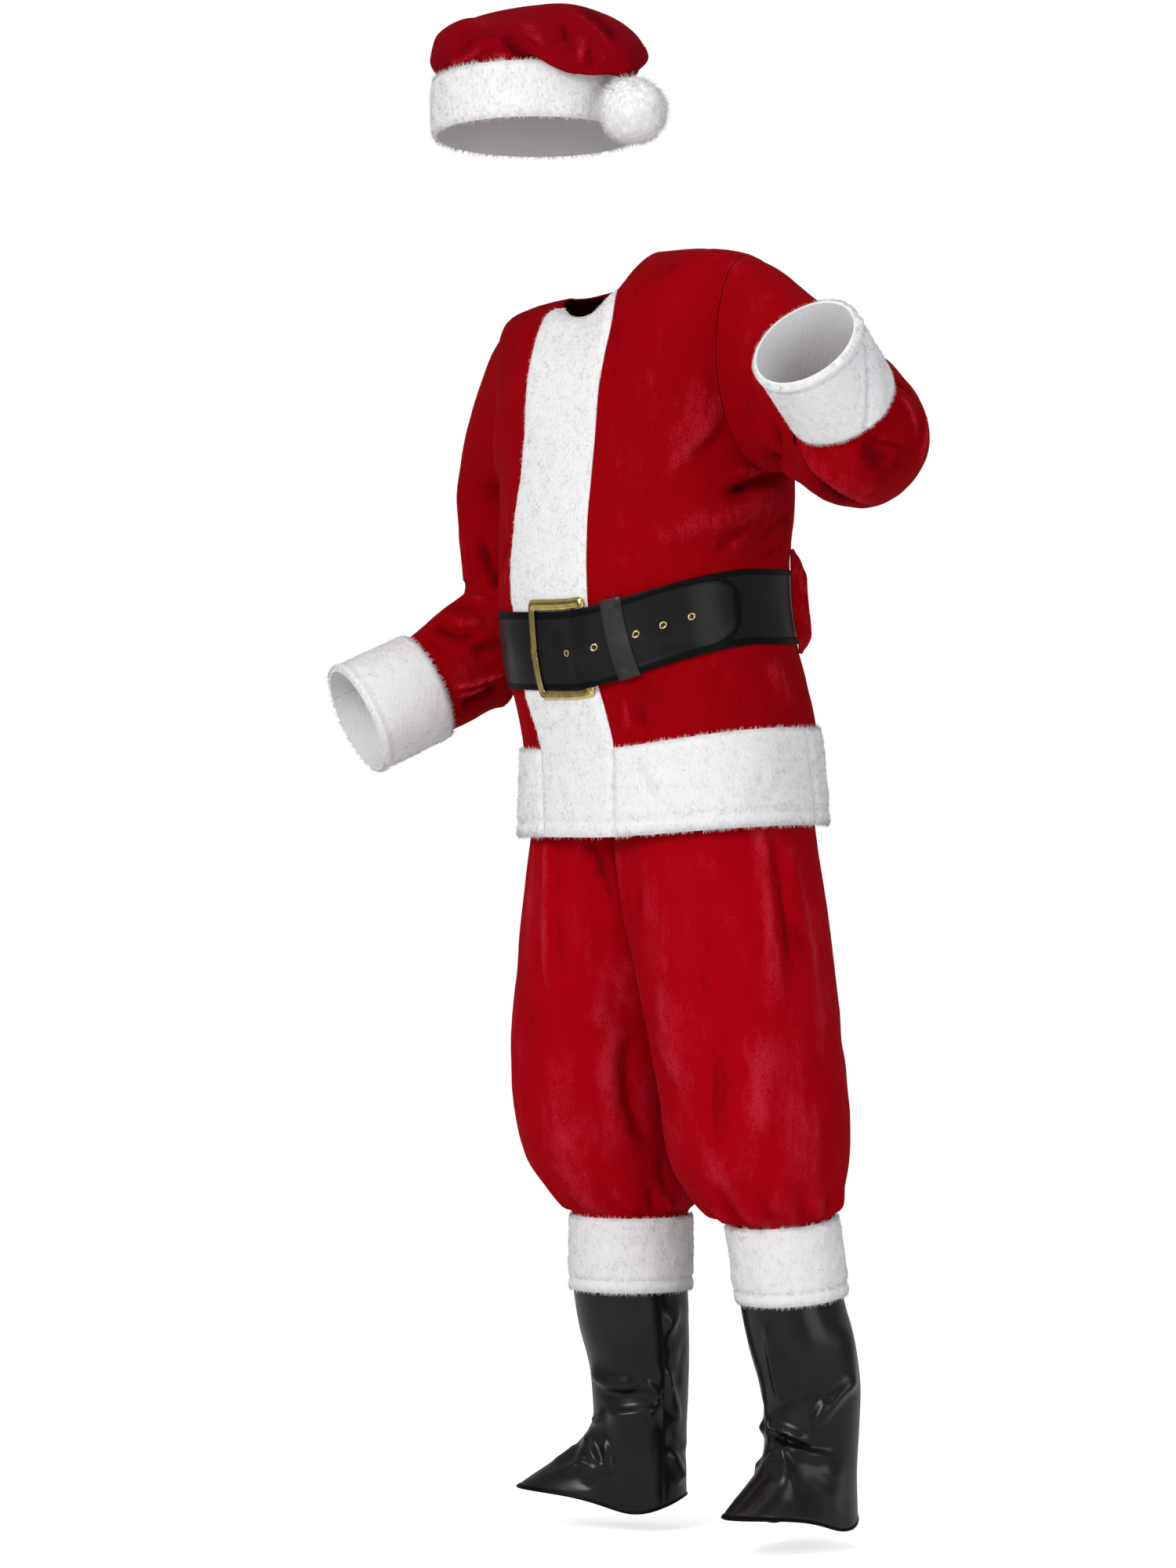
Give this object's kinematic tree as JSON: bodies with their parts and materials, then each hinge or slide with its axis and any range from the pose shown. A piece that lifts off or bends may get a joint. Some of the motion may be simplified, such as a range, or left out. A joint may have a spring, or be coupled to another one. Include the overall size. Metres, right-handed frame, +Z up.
{
  "type": "santa suit",
  "caption": "Red plush santa suit as worn: fur-trimmed jacket with a wide black buckled belt, gathered knee breeches, boot covers and a folded hat with a pom-pom.",
  "frame": {"origin": "the middle of the jacket's neck opening, where the wearer's neck and shoulders carry the suit", "axes": "+Z up along the standing wearer, -Y to the wearer's front, +X to the wearer's left"},
  "size_m": [0.9107, 0.43, 1.8515],
  "materials": {
    "red_plush": "deep red plush with a short brushed pile and a soft sheen",
    "white_fur": "white short-pile imitation fur",
    "black_belt": "satin black imitation leather with bound edges",
    "black_vinyl": "soft glossy black vinyl",
    "gold": "polished gold-coloured metal",
    "brass": "polished brass"
  },
  "bodies": {
    "root": {"belt_buckle": "gold", "belt_eyelet_1": "brass", "belt_eyelet_2": "brass", "belt_eyelet_3": "brass", "belt_eyelet_4": "brass", "belt_eyelet_5": "brass", "belt_keeper": "black_belt", "belt_loop_left": "red_plush", "belt_loop_right": "red_plush", "belt_strap": "black_belt", "boot_cover_back_left": "black_vinyl", "boot_cover_back_right": "black_vinyl", "boot_cover_front_left": "black_vinyl", "boot_cover_front_right": "black_vinyl", "breeches_back_left": "red_plush", "breeches_back_right": "red_plush", "breeches_front_left": "red_plush", "breeches_front_right": "red_plush", "breeches_waistband": "red_plush", "hat_brim": "white_fur", "hat_crown": "red_plush", "hat_pompom": "white_fur", "hem_band_back": "white_fur", "hem_band_front_left": "white_fur", "hem_band_front_right": "white_fur", "jacket_back": "red_plush", "jacket_front_band": "white_fur", "jacket_front_left": "red_plush", "jacket_front_right": "red_plush", "leg_cuff_left": "white_fur", "leg_cuff_right": "white_fur", "sleeve_cuff_left": "white_fur", "sleeve_cuff_right": "white_fur", "sleeve_left": "red_plush", "sleeve_right": "red_plush"}
  },
  "joints": []
}
